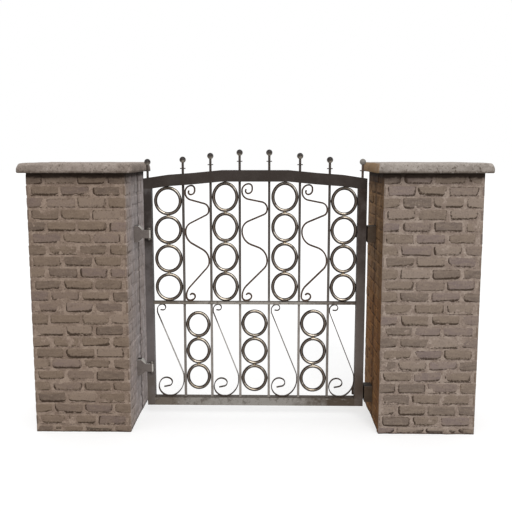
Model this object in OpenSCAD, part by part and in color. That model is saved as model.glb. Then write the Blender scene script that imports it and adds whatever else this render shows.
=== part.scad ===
// Metal garden gate: one arched bar leaf on strap hinges between two brick pillars with cap stones.
// X runs across the opening, -Y is the front, +Z is up. Origin: floor level, middle of the opening,
// middle of the pillar depth.

/* [Pillars] */
// Clear width between the two pillars
opening_w = 1302; // [900:1:1800]
// Width of each pillar, seen from the front
pier_w = 500; // [300:1:700]
// Depth of each pillar, front to back
pier_d = 512; // [300:1:700]
// Height of the brickwork under the cap stone
pier_h = 1364; // [900:1:1800]
// How far the cap stone stands out past the brickwork
cap_over = 37; // [10:1:80]
// Thickness of the cap stone
cap_t = 53; // [30:1:100]
// Height of the bevel along the cap's top edge
cap_bevel_h = 30; // [0:1:40]
// Width of the bevel along the cap's top edge
cap_bevel_w = 16; // [0:1:30]

/* [Leaf frame] */
// Gap between the leaf and each pillar
side_gap = 51; // [45:1:80]
// Gap between the leaf and the ground
floor_gap = 68; // [20:1:150]
// Front to back depth of the frame bars
frame_d = 50; // [30:1:60]
// Face width of the stile on the hinge side
hinge_stile_w = 42; // [30:1:60]
// Face width of the stile on the closing side
closing_stile_w = 47; // [30:1:60]
// Height of the bottom rail
bottom_rail_h = 44; // [30:1:80]
// Height of the mid rail's underside above the ground
mid_rail_z = 641; // [400:1:900]
// Height of the mid rail
mid_rail_h = 15; // [8:1:30]
// Depth of the mid rail
mid_rail_d = 30; // [20:1:45]
// Height of the arch's top edge in the middle, above the ground
arch_top = 1373.5; // [1000:0.5:1800]
// Height of the arched top bar's face
arch_bar_h = 61; // [30:1:90]
// How far the arch drops from its middle to its ends
arch_drop = 44; // [10:1:120]

/* [Bars and finials] */
// Side of the square upright bars
bar = 13; // [8:1:20]
// Diameter of the finial stems
stem_d = 13; // [8:0.5:16]
// Diameter of the finial balls
ball_d = 34; // [20:1:60]
// Diameter of the finial collars
collar_d = 30; // [18:1:50]
// Thickness of the finial collars
collar_t = 5; // [3:0.5:10]
// Distance from the collar's middle up to the ball's middle
collar_to_ball = 46; // [30:1:80]

/* [Rings and scrolls] */
// Bar diameter of the rings
ring_bar = 18; // [8:0.5:20]
// Free gap on the hinge side of each upper ring column
ring_side_gap = [10, 0, 4.5, 1]; // [0:0.5:20]
// How much of the height between the rails the three lower rings fill: first, second and third column
lower_ring_share = [0.845, 0.883, 0.887]; // [0.6:0.001:0.99]
// Bar thickness of the wave scrolls
wave_bar = 8.5; // [3:0.5:12]
// Bar thickness of the diagonal scrolls
diag_bar = 5; // [3:0.5:10]
// Front to back width of the scroll bars
scroll_d = 14; // [8:1:25]
// Free gap on the hinge side of each wave scroll
wave_side_gap = [0, 1.5, 2]; // [0:0.5:30]
// Free gap over each wave scroll
wave_top_gap = [0, 7, 0]; // [0:0.5:30]
// Free gap on the hinge side of each diagonal scroll
diag_side_gap = [15, 0, 4.5, 0]; // [0:0.5:30]

/* [Hinges and stops] */
// Distance of the hinge axis from the leaf's outer edge
axis_in = 28; // [20:1:60]
// Distance of the hinge axis in front of the leaf's front face
axis_front = 15; // [12:1:40]
// Diameter of the hinge pins
pin_d = 10; // [6:0.5:16]
// Height of the lower hinge's middle above the ground
hinge_low_z = 289; // [150:1:500]
// Distance of the upper hinge's middle below the ends of the arch
hinge_high_down = 297.5; // [100:0.5:600]
// Height of the lower stop bracket's middle above the ground
stop_low_z = 138; // [80:1:500]
// Distance of the upper stop bracket's middle below the ends of the arch
stop_high_down = 299.5; // [100:0.5:600]
// Height of the wide end of each bracket
lug_h = 88; // [50:1:120]
// Height of the narrow end of each bracket
strap_h = 44; // [25:1:80]
// Thickness of each bracket's strap
strap_t = 18; // [12:1:25]
// Length of the wide end of a hinge bracket, before its taper
lug_flat = 22; // [5:1:60]
// How much deeper the wide end of a hinge bracket is than its strap
lug_more_d = 31; // [0:1:60]
// Room left between the leaf's edges and the brackets beside it
swing_gap = 6; // [5:0.5:20]
// Room left between the closed leaf and the stop straps behind it
stop_gap = 5; // [5:0.5:20]
// How far the stop strap reaches in from the leaf's closing edge
stop_reach = 55; // [30:1:90]
// Length of the stop strap's narrow end, before its taper
stop_flat = 31; // [5:1:60]
// How far the stop bracket's plate stands in front of the leaf's front face
stop_front = 5; // [0:1:30]

/* [Fits] */
// Gap left for the weld where rings and scrolls meet the bars
weld_gap = 0.3; // [0.1:0.1:1]
// Gap over the top rings and wave scrolls, which meet the sloping underside of the arch
arch_gap = 0.9; // [0.6:0.1:2]
// Play all round a bar or stem in its hole in the frame
hole_play = 0.1; // [0.05:0.01:0.5]
// Play all round a hinge pin in the hinge eye
pin_play = 0.1; // [0.02:0.01:0.3]
// Play of the hinge eye between its two lugs
eye_play = 0.5; // [0.2:0.1:2]

/* [Hidden] */
$fn = 64;
e = 1;

// Lap between the pieces of one bent bar, and how much thinner the lapping pieces are
lap = 0.4;
lap_in = 0.06;

// Leaf outline
leaf_w = opening_w - 2 * side_gap;
xl = -leaf_w / 2;
xr = leaf_w / 2;
in_l = xl + hinge_stile_w;
in_r = xr - closing_stile_w;
rail_top = floor_gap + bottom_rail_h;
mid_top = mid_rail_z + mid_rail_h;

// Upright bars, from the hinge side to the closing side, as shares of half the leaf
bar_x = [for (k = [-0.648, -0.4, -0.138, 0.127, 0.402, 0.668]) k * xr];

// The arch is a bar with small kinks: share of the half width, share of the drop
arch_k = [[0, 0], [0.3, 0], [0.55, 0.33], [0.79, 0.57], [1, 1]];
function arch_z(k, i = 1) =
    i >= len(arch_k) - 1 || k <= arch_k[i][0]
    ? arch_top - arch_drop * (arch_k[i - 1][1]
      + (arch_k[i][1] - arch_k[i - 1][1]) * (k - arch_k[i - 1][0]) / (arch_k[i][0] - arch_k[i - 1][0]))
    : arch_z(k, i + 1);
function top_z(x) = arch_z(min(1, abs(x) / xr));
function under_z(x) = top_z(x) - arch_bar_h;
seat_l = under_z(in_l);
seat_r = under_z(in_r);

// Finials: one on each stile and one over each bar; the ball heights over the arch go outwards
finial_x = concat([xl + hinge_stile_w / 2], bar_x, [xr - closing_stile_w / 2]);
ball_up = [84, 74, 81, 93, 93, 81, 74, 84];
peg = 20;
// How far the holes in the sloping arch start outside it
hole_start = 10;

// Clear bays between the uprights: bay 0 lies beside the hinge stile, bay 6 beside the closing stile
bay_l = concat([in_l], [for (x = bar_x) x + bar / 2]);
bay_r = concat([for (x = bar_x) x - bar / 2], [in_r]);
function bay_w(i) = bay_r[i] - bay_l[i];

// Hinge axis
hx = xl + axis_in;
hy = -frame_d / 2 - axis_front;
strap_y0 = hy - strap_t / 2;
tab_t = 7;
tab_w = 24;
pin_head_d = 17;
pin_head_t = 4;
pin_foot = 4;
face_l = -opening_w / 2;
face_r = opening_w / 2;
hinge_high_z = top_z(xl) - hinge_high_down;
stop_high_z = top_z(xr) - stop_high_down;

// ---- pillars and caps ----

module pillar(side) {
    x0 = side < 0 ? face_l - pier_w : face_r;
    color([0.46, 0.41, 0.37])
        translate([x0, -pier_d / 2, 0])
            cube([pier_w, pier_d, pier_h]);
}

module bevelled(w, h, bw, bh) {
    polygon([[-w / 2, 0], [w / 2, 0], [w / 2, h - bh], [w / 2 - bw, h], [bw - w / 2, h], [-w / 2, h - bh]]);
}

module cap(side) {
    w = pier_w + 2 * cap_over;
    d = pier_d + 2 * cap_over;
    xc = side < 0 ? face_l - pier_w / 2 : face_r + pier_w / 2;
    color([0.58, 0.54, 0.50])
        translate([xc, 0, pier_h])
            intersection() {
                translate([0, d / 2, 0])
                    rotate([90, 0, 0])
                        linear_extrude(d)
                            bevelled(w, cap_t, cap_bevel_w, cap_bevel_h);
                translate([-w / 2, 0, 0])
                    rotate([90, 0, 90])
                        linear_extrude(w)
                            bevelled(d, cap_t, cap_bevel_w, cap_bevel_h);
            }
}

// ---- brackets fixed to the pillars ----

module hinge_bracket(zc) {
    x1 = xl - swing_gap;
    lug_d = strap_t + lug_more_d;
    color([0.30, 0.27, 0.25])
        translate([0, 0, zc])
            difference() {
                union() {
                    translate([0, strap_y0 + lug_d, 0])
                        rotate([90, 0, 0])
                            linear_extrude(lug_d)
                                polygon([
                                    [face_l, -lug_h / 2], [face_l + lug_flat, -lug_h / 2], [x1, -strap_h / 2],
                                    [x1, strap_h / 2], [face_l + lug_flat, lug_h / 2], [face_l, lug_h / 2]
                                ]);
                    translate([x1 - e, strap_y0, -strap_h / 2])
                        cube([hx - x1 + e, strap_t, strap_h]);
                    translate([hx, hy, -strap_h / 2])
                        cylinder(d = strap_t, h = strap_h);
                }
                translate([hx, hy, -strap_h / 2 - e])
                    cylinder(d = pin_d + 2 * pin_play, h = strap_h + 2 * e);
            }
}

module stop_bracket(zc) {
    x1 = xr + swing_gap + e;
    y1 = frame_d / 2 + stop_gap;
    tip_x = xr - stop_reach;
    taper_x = tip_x + stop_flat;
    color([0.30, 0.27, 0.25])
        translate([0, 0, zc])
            union() {
                translate([x1, -frame_d / 2 - stop_front, -lug_h / 2])
                    cube([face_r - x1, y1 + frame_d / 2 + stop_front + strap_t, lug_h]);
                translate([0, y1 + strap_t, 0])
                    rotate([90, 0, 0])
                        linear_extrude(strap_t)
                            polygon([
                                [tip_x, -strap_h / 2], [taper_x, -strap_h / 2], [xr + e, -lug_h / 2],
                                [x1 + e, -lug_h / 2], [x1 + e, lug_h / 2], [xr + e, lug_h / 2],
                                [taper_x, strap_h / 2], [tip_x, strap_h / 2]
                            ]);
            }
}

// ---- leaf frame ----

module steel() {
    color([0.33, 0.30, 0.28]) children();
}

module stile(x0, w, z1) {
    steel()
        translate([x0, -frame_d / 2, floor_gap])
            cube([w, frame_d, z1 - floor_gap]);
}

module arch_face() {
    right = [for (i = [0 : len(arch_k) - 1]) arch_k[i][0] * xr];
    top = concat([for (i = [len(right) - 1 : -1 : 1]) -right[i]], [for (i = [1 : len(right) - 1]) right[i]]);
    low = concat([for (i = [len(right) - 2 : -1 : 1]) -right[i]], [for (i = [1 : len(right) - 2]) right[i]]);
    polygon(concat(
        [for (x = top) [x, top_z(x)]],
        [[xr, seat_r], [in_r, seat_r]],
        [for (i = [len(low) - 1 : -1 : 0]) [low[i], under_z(low[i])]],
        [[in_l, seat_l], [xl, seat_l]]
    ));
}

module bar_prism(x, z0, z1, play = 0) {
    s = bar + 2 * play;
    translate([x - s / 2, -s / 2, z0])
        cube([s, s, z1 - z0]);
}

module arched_top_bar() {
    steel()
        difference() {
            translate([0, frame_d / 2, 0])
                rotate([90, 0, 0])
                    linear_extrude(frame_d)
                        arch_face();
            for (x = bar_x)
                bar_prism(x, under_z(x) - hole_start, under_z(x) + peg + weld_gap, hole_play);
            for (x = finial_x)
                translate([x, 0, top_z(x) - peg - weld_gap])
                    cylinder(d = stem_d + 2 * hole_play, h = peg + hole_start);
        }
}

module mid_rail() {
    steel()
        difference() {
            translate([in_l, -mid_rail_d / 2, mid_rail_z])
                cube([in_r - in_l, mid_rail_d, mid_rail_h]);
            for (x = bar_x)
                bar_prism(x, mid_rail_z - e, mid_top + e, hole_play);
        }
}

module bottom_rail() {
    steel()
        translate([in_l, -frame_d / 2, floor_gap])
            cube([in_r - in_l, frame_d, bottom_rail_h]);
}

module upright(i) {
    steel()
        bar_prism(bar_x[i], rail_top, under_z(bar_x[i]) + peg);
}

module finial(i) {
    x = finial_x[i];
    zb = top_z(x) + ball_up[i];
    zc = zb - collar_to_ball;
    color([0.40, 0.36, 0.33])
        translate([x, 0, 0])
            union() {
                translate([0, 0, top_z(x) - peg])
                    cylinder(d = stem_d, h = zb - top_z(x) + peg);
                translate([0, 0, zc - collar_t / 2])
                    cylinder(d = collar_d, h = collar_t);
                translate([0, 0, zb])
                    sphere(d = ball_d);
            }
}

// ---- hinge parts on the leaf ----

module hinge_lugs(zc) {
    steel()
        for (s = [-1, 1])
            translate([hx, hy, zc + s * (strap_h / 2 + eye_play + tab_t / 2)])
                difference() {
                    union() {
                        cylinder(d = strap_t, h = tab_t, center = true);
                        translate([-tab_w / 2, 0, -tab_t / 2])
                            cube([tab_w, axis_front, tab_t]);
                    }
                    cylinder(d = pin_d + hole_play, h = tab_t + 2 * e, center = true);
                }
}

module hinge_pin(zc) {
    reach = strap_h / 2 + eye_play + tab_t;
    color([0.36, 0.34, 0.32])
        translate([hx, hy, zc])
            union() {
                translate([0, 0, -reach - pin_foot])
                    cylinder(d = pin_d, h = 2 * reach + pin_foot + e);
                translate([0, 0, reach])
                    cylinder(d = pin_head_d, h = pin_head_t);
            }
}

// ---- rings: each a slightly oval hoop of round bar, made of four tangent arcs ----

module hoop(w, h) {
    a = (h - ring_bar) / 2;
    b = (w - ring_bar) / 2;
    t = (a - b) / (2 - sqrt(2));
    more = lap / (b + t) * 180 / PI;
    rotate([90, 0, 0]) {
        for (s = [0, 180])
            rotate([0, 0, s]) {
                translate([0, t, 0])
                    rotate([0, 0, 45])
                        rotate_extrude(angle = 90)
                            translate([a - t, 0])
                                circle(d = ring_bar);
                translate([-t, 0, 0])
                    rotate([0, 0, -45 - more])
                        rotate_extrude(angle = 90 + 2 * more)
                            translate([b + t, 0])
                                circle(d = ring_bar - lap_in);
            }
    }
}

module upper_rings(bay, side_gap) {
    w = bay_w(bay) - side_gap - 2 * weld_gap;
    xc = bay_r[bay] - weld_gap - w / 2;
    z0 = mid_top + weld_gap;
    pitch = (under_z(xc) - arch_gap + weld_gap - z0) / 4;
    color([0.45, 0.38, 0.30])
        for (i = [0 : 3])
            translate([xc, 0, z0 + i * pitch + (pitch - weld_gap) / 2])
                hoop(w, pitch - weld_gap);
}

module lower_rings(bay, share) {
    w = bay_w(bay) - 2 * weld_gap;
    h = (mid_rail_z - rail_top) * share / 3 - weld_gap;
    xc = (bay_l[bay] + bay_r[bay]) / 2;
    zm = (rail_top + mid_rail_z) / 2;
    color([0.45, 0.38, 0.30])
        for (i = [-1 : 1])
            translate([xc, 0, zm + i * (h + weld_gap)])
                hoop(w, h);
}

// ---- scrolls: flat bar bent as a run of tangent arcs and straights ----
// A run is a list of [radius, turn] arcs (a positive turn goes left) and [0, length] straights.
// Every second piece is a hair thinner and laps into its neighbours, so the bar is one solid.

module run(steps, b, i = 0) {
    if (i < len(steps)) {
        r = steps[i][0];
        v = steps[i][1];
        odd = i % 2;
        slim = odd * lap_in;
        bb = b - slim;
        over = odd * lap;
        if (r == 0) {
            translate([-over, -bb / 2, slim / 2])
                cube([v + 2 * over, bb, scroll_d - slim]);
            translate([v, 0, 0])
                run(steps, b, i + 1);
        } else {
            side = v > 0 ? 1 : -1;
            more = over / r * 180 / PI;
            translate([0, side * r, 0]) {
                rotate([0, 0, (v > 0 ? -90 : 90 + v) - more])
                    rotate_extrude(angle = abs(v) + 2 * more)
                        translate([r - bb / 2, slim / 2])
                            square([bb, scroll_d - slim]);
                rotate([0, 0, v])
                    translate([0, -side * r, 0])
                        run(steps, b, i + 1);
            }
        }
    }
}

// Where a run that starts at heading d ends up, and how far it turns in all
function move(s, d) =
    s[0] == 0 ? s[1] * [cos(d), sin(d)]
    : sign(s[1]) * s[0] * [sin(d + s[1]) - sin(d), cos(d) - cos(d + s[1])];
function turned(s) = s[0] == 0 ? 0 : s[1];
function moves(steps, d, i = 0) =
    i < len(steps) ? move(steps[i], d) + moves(steps, d + turned(steps[i]), i + 1) : [0, 0];
function turns(steps, i = 0) = i < len(steps) ? turned(steps[i]) + turns(steps, i + 1) : 0;
function sized(steps, k) = [for (s = steps) s[0] == 0 ? s * k : [s[0] * k, s[1]]];

// A crossing goes over to the bay's other side, w across and h down: an arc that turns out of the
// upright, a straight, and an arc that turns back. With r the sum of the two radii, the straight's
// length and the turn are:
function cross_l(w, h, r) = sqrt((w - r) * (w - r) + h * h - r * r);
function cross_a(w, h, r) = atan2(w - r, h) + atan2(r, cross_l(w, h, r));

// A scroll, w wide and h high along the middle of its bar: a curl at the top, crossings with short
// uprights between them, and a foot whose first `down` steps reach the lowest point. The bends have
// the listed sizes where the scroll is as wide and high as `size`, and follow the smaller of the two.
module scroll(b, xmax, zmin, w, h, size, curl, up, cross, foot, down) {
    k = min(w / size[0], h / size[1]);
    head = sized(curl, k);
    tail = sized(foot, k);
    top_r = head[len(head) - 1][0];
    first = [for (i = [0 : down - 1]) tail[i]];
    room = h - top_r + moves(first, 270)[1] - (len(cross) + 1) * up * k;
    middle = [for (i = [0 : len(cross) - 1], part = [0 : 3])
        let (
            r1 = cross[i][0] * k,
            r2 = cross[i][1] * k,
            fall = cross[i][2] * room,
            turn = (i % 2 == 0 ? 1 : -1) * cross_a(w, fall, r1 + r2)
        )
        [[0, up * k], [r1, turn], [0, cross_l(w, fall, r1 + r2)], [r2, -turn]][part]];
    heading = 270 - turns(head);
    start = [0, h - top_r] - moves(head, heading);
    color([0.40, 0.36, 0.33])
        translate([xmax - w, scroll_d / 2, zmin])
            rotate([90, 0, 0])
                translate([start[0], start[1], 0])
                    rotate([0, 0, heading])
                        run(concat(head, middle, [[0, up * k]], tail), b);
}

// Wave: four crossings, as [radius, radius, share of the height], between a curl at the top and a
// curl at the foot
wave_size = [135.5, 640];
wave_up = 5.7;
wave_curl = [[0, 8], [13, 105], [23, 90], [0, 10], [19, 90], [36, 90]];
wave_cross = [[42, 36, 0.164], [30, 56, 0.207], [76, 76, 0.282], [58, 80, 0.347]];
wave_foot = [[21, 90], [34, 50], [17, 130], [12, 75]];

module wave_scroll(bay, side_gap, top_gap) {
    w = bay_w(bay) - side_gap - 2 * weld_gap - wave_bar;
    curl_x = bay_r[bay] - weld_gap - wave_bar / 2 - w + wave_curl[5][0];
    lowest = min(under_z(curl_x - wave_curl[5][0] / 2), under_z(curl_x + wave_curl[5][0] / 2));
    h = lowest - top_gap - mid_top - weld_gap - arch_gap - wave_bar;
    scroll(wave_bar, bay_r[bay] - weld_gap - wave_bar / 2, mid_top + weld_gap + wave_bar / 2,
        w, h, wave_size, wave_curl, wave_up, wave_cross, wave_foot, 1);
}

// Diagonal scroll: a small curl at the top, one long crossing and a large curl at the foot
diag_size = [142, 522];
diag_up = 12;
diag_curl = [[0, 12], [15, 98], [17.5, 90], [28.5, 90]];
diag_cross = [[20, 102, 1]];
diag_foot = [[102, -54], [65, -36], [65, -30], [55, -100], [38, -90], [22, -129], [0, 28]];

module diagonal_scroll(bay, side_gap) {
    w = bay_w(bay) - side_gap - 2 * weld_gap - diag_bar;
    h = mid_rail_z - rail_top - 2 * weld_gap - diag_bar;
    scroll(diag_bar, bay_r[bay] - weld_gap - diag_bar / 2, rail_top + weld_gap + diag_bar / 2,
        w, h, diag_size, diag_curl, diag_up, diag_cross, diag_foot, 2);
}

// ---- the nodes ----

module left_pillar() { pillar(-1); }
module right_pillar() { pillar(1); }
module left_cap() { cap(-1); }
module right_cap() { cap(1); }
module hinge_bracket_upper() { hinge_bracket(hinge_high_z); }
module hinge_bracket_lower() { hinge_bracket(hinge_low_z); }
module stop_bracket_upper() { stop_bracket(stop_high_z); }
module stop_bracket_lower() { stop_bracket(stop_low_z); }
module hinge_stile() { stile(xl, hinge_stile_w, seat_l); }
module closing_stile() { stile(in_r, closing_stile_w, seat_r); }
module hinge_lugs_upper() { hinge_lugs(hinge_high_z); }
module hinge_lugs_lower() { hinge_lugs(hinge_low_z); }
module hinge_pin_upper() { hinge_pin(hinge_high_z); }
module hinge_pin_lower() { hinge_pin(hinge_low_z); }
module upright_1() { upright(0); }
module upright_2() { upright(1); }
module upright_3() { upright(2); }
module upright_4() { upright(3); }
module upright_5() { upright(4); }
module upright_6() { upright(5); }
module finial_1() { finial(0); }
module finial_2() { finial(1); }
module finial_3() { finial(2); }
module finial_4() { finial(3); }
module finial_5() { finial(4); }
module finial_6() { finial(5); }
module finial_7() { finial(6); }
module finial_8() { finial(7); }
module upper_rings_1() { upper_rings(0, ring_side_gap[0]); }
module upper_rings_2() { upper_rings(2, ring_side_gap[1]); }
module upper_rings_3() { upper_rings(4, ring_side_gap[2]); }
module upper_rings_4() { upper_rings(6, ring_side_gap[3]); }
module lower_rings_1() { lower_rings(1, lower_ring_share[0]); }
module lower_rings_2() { lower_rings(3, lower_ring_share[1]); }
module lower_rings_3() { lower_rings(5, lower_ring_share[2]); }
module wave_scroll_1() { wave_scroll(1, wave_side_gap[0], wave_top_gap[0]); }
module wave_scroll_2() { wave_scroll(3, wave_side_gap[1], wave_top_gap[1]); }
module wave_scroll_3() { wave_scroll(5, wave_side_gap[2], wave_top_gap[2]); }
module diagonal_scroll_1() { diagonal_scroll(0, diag_side_gap[0]); }
module diagonal_scroll_2() { diagonal_scroll(2, diag_side_gap[1]); }
module diagonal_scroll_3() { diagonal_scroll(4, diag_side_gap[2]); }
module diagonal_scroll_4() { diagonal_scroll(6, diag_side_gap[3]); }

left_pillar();
right_pillar();
left_cap();
right_cap();
hinge_bracket_upper();
hinge_bracket_lower();
stop_bracket_upper();
stop_bracket_lower();
hinge_stile();
closing_stile();
arched_top_bar();
mid_rail();
bottom_rail();
hinge_lugs_upper();
hinge_lugs_lower();
hinge_pin_upper();
hinge_pin_lower();
upright_1();
upright_2();
upright_3();
upright_4();
upright_5();
upright_6();
finial_1();
finial_2();
finial_3();
finial_4();
finial_5();
finial_6();
finial_7();
finial_8();
upper_rings_1();
upper_rings_2();
upper_rings_3();
upper_rings_4();
lower_rings_1();
lower_rings_2();
lower_rings_3();
wave_scroll_1();
wave_scroll_2();
wave_scroll_3();
diagonal_scroll_1();
diagonal_scroll_2();
diagonal_scroll_3();
diagonal_scroll_4();
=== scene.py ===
"""Looks of the metal garden gate: brickwork, cap stones, aged metal, light and camera. Metres, +Z up."""
import math
from collections import namedtuple

import bpy
import numpy as np
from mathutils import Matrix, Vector


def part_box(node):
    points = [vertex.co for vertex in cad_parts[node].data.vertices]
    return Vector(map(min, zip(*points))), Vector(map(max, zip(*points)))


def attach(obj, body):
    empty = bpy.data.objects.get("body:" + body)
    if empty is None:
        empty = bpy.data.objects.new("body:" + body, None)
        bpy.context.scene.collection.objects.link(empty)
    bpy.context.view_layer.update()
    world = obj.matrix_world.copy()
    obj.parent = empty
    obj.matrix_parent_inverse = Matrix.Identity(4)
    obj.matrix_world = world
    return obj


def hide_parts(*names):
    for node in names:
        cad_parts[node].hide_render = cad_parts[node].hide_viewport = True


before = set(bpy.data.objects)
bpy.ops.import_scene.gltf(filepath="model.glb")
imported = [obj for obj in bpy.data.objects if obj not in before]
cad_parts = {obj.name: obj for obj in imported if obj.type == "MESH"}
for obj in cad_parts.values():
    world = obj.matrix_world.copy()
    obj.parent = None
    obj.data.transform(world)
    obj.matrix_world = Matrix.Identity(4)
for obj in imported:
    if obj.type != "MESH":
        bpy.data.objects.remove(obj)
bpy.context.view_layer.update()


def top_of(node):
    """Height of a CAD node's highest point."""
    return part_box(node)[1].z


# ---------------------------------------------------------------- sizes, in metres
MM = 0.001
COURSE = 60.3 * MM                 # height of one brick course with its bed joint
BRICK_H = 49.5 * MM                # height of a brick's face
LEAST_BRICK_H = 12 * MM            # a course that would be lower than this is left out
JOINT = 11.5 * MM                  # width of an upright joint
SLIP = 13 * MM                     # how deep a brick reaches into the mortar
RECESS = 2.0 * MM                  # how far the mortar lies behind the bricks
FIRST_BED = 55 * MM                # lower edge of the top course, below the cap stone
END_MARGINS = (18 * MM, 28 * MM)   # left and right, where the next face's bricks turn the corner
MIDDLE_SHARE = 0.315               # of a course of four bricks, the length of each middle one
CORNER_STRETCH = 1.25              # width of a brick's rounded corner against its height
EDGE_SHIFT = 2.5                   # how far a brick's lower and upper edges wander, in mm
BRICK_LEAN = 0.55                  # spread of the bricks' tilt, in degrees
BRICK_PROUD = 0.9                  # how far a brick's face stands out or back, in mm
# The dark line round each brick is a painted shadow, darkest below the brick and at its left.
CREASE_SHADOW = 5.2 * MM                  # reach of the dark line round a brick
RIM_RISE = 1.7                     # how soon that line is at its darkest on the brick's own rounded edge
MORTAR_CELL = 6 * MM               # grid of the mortar's surface
SMEAR = 2.4 * MM                   # thickness of mortar smeared over the bricks in places
FILLED_CORNER = 30 * MM            # over this stretch the mortar comes out flush at a pillar's corners
SKEW = 4.5 * MM                    # how far each pillar's back inner corner stands into the opening
SPREAD = 3.5 * MM                  # how far each outer side stands out past the drawn pillar
SEAM = 75 * MM                     # where an upright joint runs down the dusty face, back from the middle
VEILED_SIDE, VEILED_FACE = "left", "right"   # pillar and face that wear a film of grey dust
PILLAR_TOP = top_of("left_pillar")
LAST_FINIAL_TOP = top_of("finial_8")

# A cap stone's section, drawn on a slab 55 mm thick: where it is over its half width, and how high, in mm
CAP_THICK = 55
CAP_TOP = 53                       # its worn top
CAP_EDGE = (                       # underside's edge, upright edge and rounded bevel, outwards and up
    (-5, 0), (-1.5, 1), (0, 4), (0, 12), (0, 20), (-1, 27), (-3.5, 34), (-7, 41), (-10.5, 47), (-15, 51), (-23, 52.6))
CAP_UNDERSIDE = (0.60, 0.80, 0.93) # shares of the half width where the flat underside and top have points
CAP_FLAT = (0.86, 0.7, 0.45, 0.2)
CAP_SIDE_POINTS = 46               # points along each side
CAP_OVER = (2 * MM, 1 * MM)        # how far it stands past the CAD slab along X and Y
CAP_CORNER = (10 * MM, 2.5 * MM)   # reach and depth of the wear at its corners
CAP_RIM = 60 * MM                  # how far in from the edge it is worn

WELD_GAP = 0.3 * MM                # between a ring and the arch above it
RING_TO_BAR = (1.8, 3.6, 7.0)      # half sizes of each kind of weld bead, in mm
RING_TO_RAIL = (6.5, 3.6, 2.0)
RING_TO_RING = (8.0, 8.4, 3.2)
SCROLL_TO_BAR = (1.6, 3.6, 7.0)
SCROLL_FOOT = (7.0, 3.6, 1.6)
SCROLL_HEAD = (6.0, 3.6, 1.6)
OPEN_ON_LEFT = ("upper_rings_1", "upper_rings_3")   # ring columns with no weld on their left

AMBIENT = 0.82                     # strength of the even white light
KEY = 1.1                          # strength of the sun lamp
KEY_FROM = (0.2, -0.78, 0.59)      # the way its light comes from
KEY_WIDTH = 20                     # how wide it looks, in degrees
FLOOR_REACH = 60.0                 # from the middle to each edge
FLOOR_GREY = (0.5, 0.5, 0.5)
FLOOR_GLOW = 0.6
CAMERA_AT = (0.0769, -3.8441, 1.4486)
CAMERA_YAW, CAMERA_DOWN = -0.0187, 0.1397   # radians: a negative yaw looks left, and down is below level
CAMERA_LENS, CAMERA_SENSOR = 50.0, 36.0     # mm

FACES = (  # of a pillar: outward normal, and the direction that runs along the face
    ("front", (0, -1), (1, 0)), ("right", (1, 0), (0, 1)),
    ("back", (0, 1), (-1, 0)), ("left", (-1, 0), (0, -1)),
)
FACE_NAMES = np.array([face for face, _, _ in FACES])
# Each face's multiplier is partly the face's own cast and partly painted light and shade that sets how bright each
# face looks, such as the much brighter right face of the left pillar, which the sun hardly reaches.
TINTS_AND_PAINTED_LIGHT = {  # what the brickwork's colour is multiplied by on each face
    "left": {"front": (1.03, 1.0, 0.98), "right": (1.66, 1.68, 1.76), "back": (1.04, 1.02, 1.0),
             "left": (1.04, 1.02, 1.0)},
    "right": {"front": (1.18, 1.2, 1.24), "left": (1.08, 0.83, 0.54), "back": (1.2, 1.22, 1.24),
              "right": (1.2, 1.22, 1.25)},
}
SEEDS = {"left": 11, "right": 47}
CAP_COLOURS = {"left": (151, 139, 130), "right": (160, 151, 143)}
Pillar = namedtuple("Pillar", "side centre_x width depth height tints")


# ---------------------------------------------------------------- numbers that repeat the same way each run
def hash01(ix, iy, iz, seed):
    """A repeatable value from 0 to 1 for each whole-number lattice point."""
    n = (ix * 374761393 + iy * 668265263 + iz * 974711 + seed * 1274126177) & 0xFFFFFFFF
    n = ((n ^ (n >> 13)) * 1274126177) & 0xFFFFFFFF
    return ((n ^ (n >> 16)) & 0xFFFF) / 65535.0


def smooth_noise(points, cell, seed):
    """Smooth noise from -1 to 1 at each point, with lumps about one cell wide."""
    p = np.asarray(points) / cell
    low = np.floor(p).astype(np.int64)
    f = p - low
    f = f * f * (3 - 2 * f)
    total = np.zeros(len(p))
    for dx in (0, 1):
        for dy in (0, 1):
            for dz in (0, 1):
                wx = f[:, 0] if dx else 1 - f[:, 0]
                wy = f[:, 1] if dy else 1 - f[:, 1]
                wz = f[:, 2] if dz else 1 - f[:, 2]
                total += wx * wy * wz * hash01(low[:, 0] + dx, low[:, 1] + dy, low[:, 2] + dz, seed)
    return total * 2 - 1


def lumps(points, layers, seed, seed_step=1):
    """Smooth noises added up. Each layer is a cell and a height, in mm."""
    return sum(smooth_noise(points, cell * MM, seed + n * seed_step) * height * MM
               for n, (cell, height) in enumerate(layers))


# ---------------------------------------------------------------- mesh helpers
def new_object(name, verts, faces, attributes=None, smooth=True):
    """A mesh object, with a value or a colour per point for each named attribute."""
    mesh = bpy.data.meshes.new(name)
    mesh.from_pydata([tuple(v) for v in verts], [], faces)
    for key, values in (attributes or {}).items():
        values = np.asarray(values, dtype=np.float32)
        if values.ndim == 1:
            mesh.attributes.new(key, "FLOAT", "POINT").data.foreach_set("value", values)
        else:
            rgba = np.column_stack([values, np.ones(len(values), dtype=np.float32)])
            mesh.attributes.new(key, "FLOAT_COLOR", "POINT").data.foreach_set("color", rgba.ravel())
    mesh.update()
    if smooth:
        mesh.polygons.foreach_set("use_smooth", [True] * len(mesh.polygons))
    obj = bpy.data.objects.new(name, mesh)
    bpy.context.scene.collection.objects.link(obj)
    return obj


def set_material(obj, material):
    obj.data.materials.clear()
    obj.data.materials.append(material)


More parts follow.
